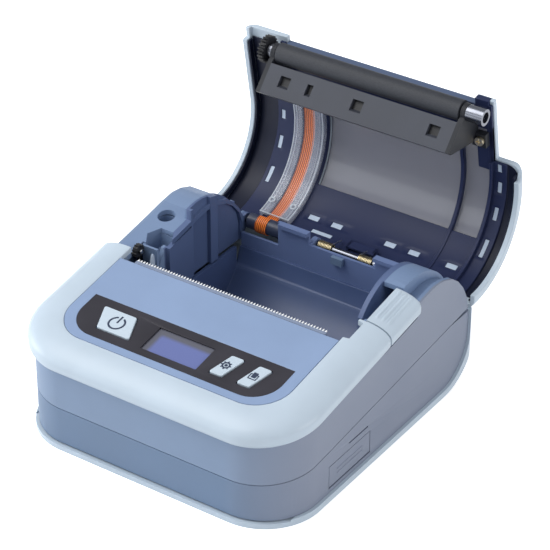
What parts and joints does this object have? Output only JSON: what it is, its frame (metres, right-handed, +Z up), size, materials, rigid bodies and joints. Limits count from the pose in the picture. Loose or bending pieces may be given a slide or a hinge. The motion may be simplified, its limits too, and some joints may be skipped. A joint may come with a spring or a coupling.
{
  "type": "receipt printer",
  "caption": "Portable receipt printer with a clamshell paper lid standing open on a rear hinge, a sloping deck with keys and display, and a serrated tear bar.",
  "frame": {"origin": "under the middle of the flat base, on the surface the printer stands on", "axes": "+X to the right along the hinge and platen, +Y to the rear, +Z up"},
  "size_m": [0.1208, 0.1596, 0.102],
  "materials": {
    "pale_plastic": "satin moulded",
    "wall_plastic": "fine spark texture",
    "deck_plastic": "satin moulded",
    "navy_plastic": "satin moulded",
    "bay_plastic": "satin moulded",
    "panel_film": "gloss printed film",
    "display_glass": "gloss",
    "smoked_window": "clear smoked",
    "clear_cover": "clear",
    "black_plastic": "satin moulded",
    "steel": "plated",
    "spring_steel": "plated",
    "rubber": "ground",
    "ceramic": "glazed",
    "board": "solder mask",
    "cell_wrap": "shrink film",
    "ribbon_film": "polyimide film",
    "gear_resin": "acetal",
    "brass": "machined",
    "alloy": "satin"
  },
  "bodies": {
    "housing": {"base_cover": "pale_plastic", "lower_housing": "wall_plastic", "upper_housing": "wall_plastic", "front_bezel": "pale_plastic", "deck_plate": "deck_plastic", "panel_overlay": "panel_film", "display_window": "display_glass", "display_module": "black_plastic", "key_switches": "black_plastic", "control_board": "board", "main_board": "board", "battery_pack": "cell_wrap", "battery_door": "pale_plastic", "roll_cradle": "bay_plastic", "tear_bar": "steel", "head_frame": "alloy", "head_pivot": "steel", "stepper_motor": "steel", "gear_posts": "steel", "hinge_pin": "steel", "lid_springs": "spring_steel", "latch_pin": "steel", "latch_spring": "spring_steel", "port_board": "board", "usb_socket": "steel", "dc_jack": "black_plastic", "body_screws": "steel", "cable_clip": "black_plastic"},
    "lid": {"lid_shell": "pale_plastic", "lid_liner": "navy_plastic", "lid_window": "smoked_window", "cable_cover": "clear_cover", "sensor_cable": "ribbon_film", "gap_sensor": "black_plastic", "platen_bracket": "black_plastic", "bracket_screws": "brass", "platen_bushes": "steel", "hinge_sleeve": "black_plastic"},
    "platen": {"platen_shaft": "steel", "platen_rubber": "rubber", "platen_gear": "black_plastic"},
    "power_key": {"power_key": "pale_plastic"},
    "settings_key": {"settings_key": "pale_plastic"},
    "feed_key": {"feed_key": "pale_plastic"},
    "latch": {"latch_lever": "pale_plastic"},
    "flap": {"port_flap": "wall_plastic"},
    "print_head": {"thermal_head": "ceramic"},
    "pinion": {"motor_pinion": "brass"},
    "reduction": {"reduction_gear": "gear_resin"},
    "idler": {"idler_gear": "black_plastic"}
  },
  "joints": [
    {"name": "lid_hinge", "type": "hinge", "parent": "housing", "child": "lid", "pos_m": [0, 0.0606, 0.033], "axis": [1, 0, 0], "range_deg": [0, 97], "deforming": ["sensor_cable"]},
    {"name": "platen_spin", "type": "hinge", "parent": "lid", "child": "platen", "pos_m": [0, 0.0808, 0.09661], "axis": [1, 0, 0], "continuous": true},
    {"name": "power_key_press", "type": "slide", "parent": "housing", "child": "power_key", "axis": [0, 0.1582, -0.9874], "range_m": [0, 0.0005], "stiffness_N_per_m": 600, "springref_m": -0.0004},
    {"name": "settings_key_press", "type": "slide", "parent": "housing", "child": "settings_key", "axis": [0, 0.1582, -0.9874], "range_m": [0, 0.0005], "stiffness_N_per_m": 600, "springref_m": -0.0004},
    {"name": "feed_key_press", "type": "slide", "parent": "housing", "child": "feed_key", "axis": [0, 0.1582, -0.9874], "range_m": [0, 0.0005], "stiffness_N_per_m": 600, "springref_m": -0.0004},
    {"name": "latch_lift", "type": "hinge", "parent": "housing", "child": "latch", "pos_m": [0.0528, 0.0052, 0.04828], "axis": [1, 0, 0], "range_deg": [0, 7], "stiffness_Nm_per_rad": 0.3, "springref_deg": -5.73},
    {"name": "flap_open", "type": "hinge", "parent": "housing", "child": "flap", "pos_m": [0.0575, -0.0198, 0.0053], "axis": [0, 1, 0], "range_deg": [0, 95]},
    {"name": "head_tilt", "type": "hinge", "parent": "housing", "child": "print_head", "pos_m": [0, -0.0112, 0.0298], "axis": [1, 0, 0], "range_deg": [0, 1.2], "stiffness_Nm_per_rad": 2, "springref_deg": -1.72},
    {"name": "idler_spin", "type": "hinge", "parent": "housing", "child": "idler", "pos_m": [-0.0459, -0.00038, 0.0366], "axis": [1, 0, 0], "continuous": true},
    {"name": "reduction_spin", "type": "hinge", "parent": "housing", "child": "reduction", "pos_m": [-0.0459, -0.00149, 0.02752], "axis": [1, 0, 0], "continuous": true},
    {"name": "pinion_spin", "type": "hinge", "parent": "housing", "child": "pinion", "pos_m": [-0.0459, -0.00507, 0.02133], "axis": [1, 0, 0], "continuous": true}
  ],
  "couplings": [
    {"joint": "reduction_spin", "follows": "idler_spin", "ratio": -1},
    {"joint": "pinion_spin", "follows": "idler_spin", "ratio": 1.8}
  ]
}
